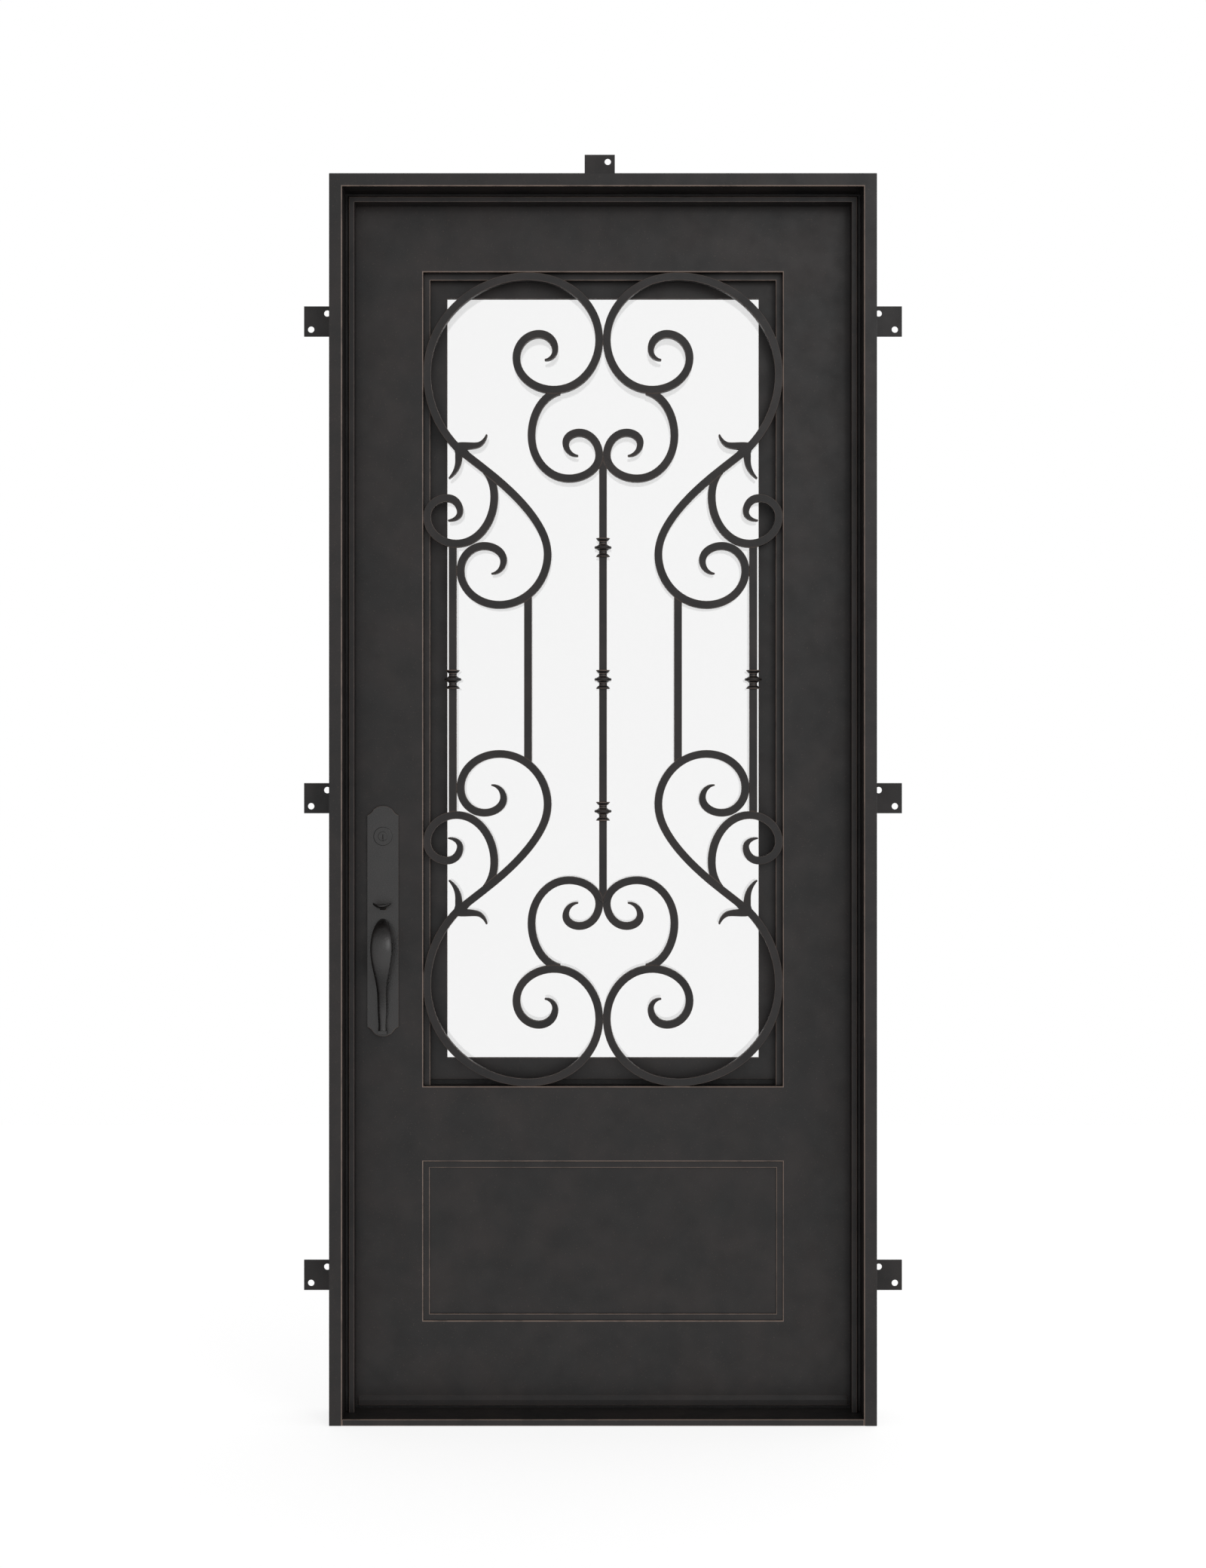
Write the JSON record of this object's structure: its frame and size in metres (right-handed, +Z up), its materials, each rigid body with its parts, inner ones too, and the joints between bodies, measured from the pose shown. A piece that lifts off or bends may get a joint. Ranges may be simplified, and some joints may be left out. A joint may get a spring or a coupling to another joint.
{
  "type": "wrought iron entry door in its frame",
  "caption": "Pre-hung single wrought iron entry door with a scrollwork grille over a tall pane, a kick panel, a steel jamb frame with anchor tabs and a pull handle with a thumb latch.",
  "frame": {"origin": "centre of the underside of the sill, half way through the frame's depth", "axes": "+Z up, outside face towards -Y, +X towards the hinge side"},
  "size_m": [1.1868, 0.2084, 2.4984],
  "materials": {
    "painted_steel": "dark bronze paint, rubbed through to brown on the edges",
    "handle_metal": "dark bronze, fine speckle, a little glossier than the paint",
    "plain_steel": "plain steel",
    "rubber": "matt black",
    "glass": "clear, double glazed, with a faint grey tint"
  },
  "bodies": {
    "frame": {"jamb_latch_side": "painted_steel", "jamb_hinge_side": "painted_steel", "head_jamb": "painted_steel", "sill": "painted_steel", "stop_latch_side": "painted_steel", "stop_hinge_side": "painted_steel", "stop_head": "painted_steel", "weatherstrip": "rubber", "anchor_tabs": "painted_steel", "frame_hinges": "painted_steel", "hinge_pins": "plain_steel", "strike_plates": "plain_steel"},
    "leaf": {"leaf_skin_outside": "painted_steel", "leaf_skin_inside": "painted_steel", "stile_latch_side": "painted_steel", "stile_hinge_side": "painted_steel", "top_rail": "painted_steel", "middle_rail": "painted_steel", "bottom_rail": "painted_steel", "kick_panel_outside": "painted_steel", "kick_panel_inside": "painted_steel", "glazing_ledge": "painted_steel", "glazing_frame": "painted_steel", "glass_pane": "glass", "glazing_seal": "rubber", "drip_bar": "painted_steel", "door_sweep": "rubber", "leaf_hinges": "painted_steel", "corner_scrolls": "painted_steel", "heart_scrolls": "painted_steel", "teardrop_scrolls": "painted_steel", "branch_scrolls": "painted_steel", "grille_leaves": "painted_steel", "centre_bar": "painted_steel", "side_bars": "painted_steel", "inner_bars": "painted_steel", "collars": "painted_steel", "back_plate": "handle_metal", "pull_handle": "handle_metal", "key_cylinder": "handle_metal", "inside_plate": "handle_metal", "inside_lever": "handle_metal", "thumb_turn": "handle_metal", "lock_face_plate": "plain_steel"},
    "thumb_latch": {"thumb_latch": "handle_metal"}
  },
  "joints": [
    {"name": "leaf_swing", "type": "hinge", "parent": "frame", "child": "leaf", "pos_m": [0.4992, 0.0882, 0], "axis": [0, 0, -1], "range_deg": [0, 105]},
    {"name": "thumb_latch_press", "type": "hinge", "parent": "leaf", "child": "thumb_latch", "pos_m": [-0.4364, 0.0324, 1.01], "axis": [1, 0, 0], "range_deg": [0, 12], "stiffness_Nm_per_rad": 1.2, "springref_deg": -5.73}
  ]
}
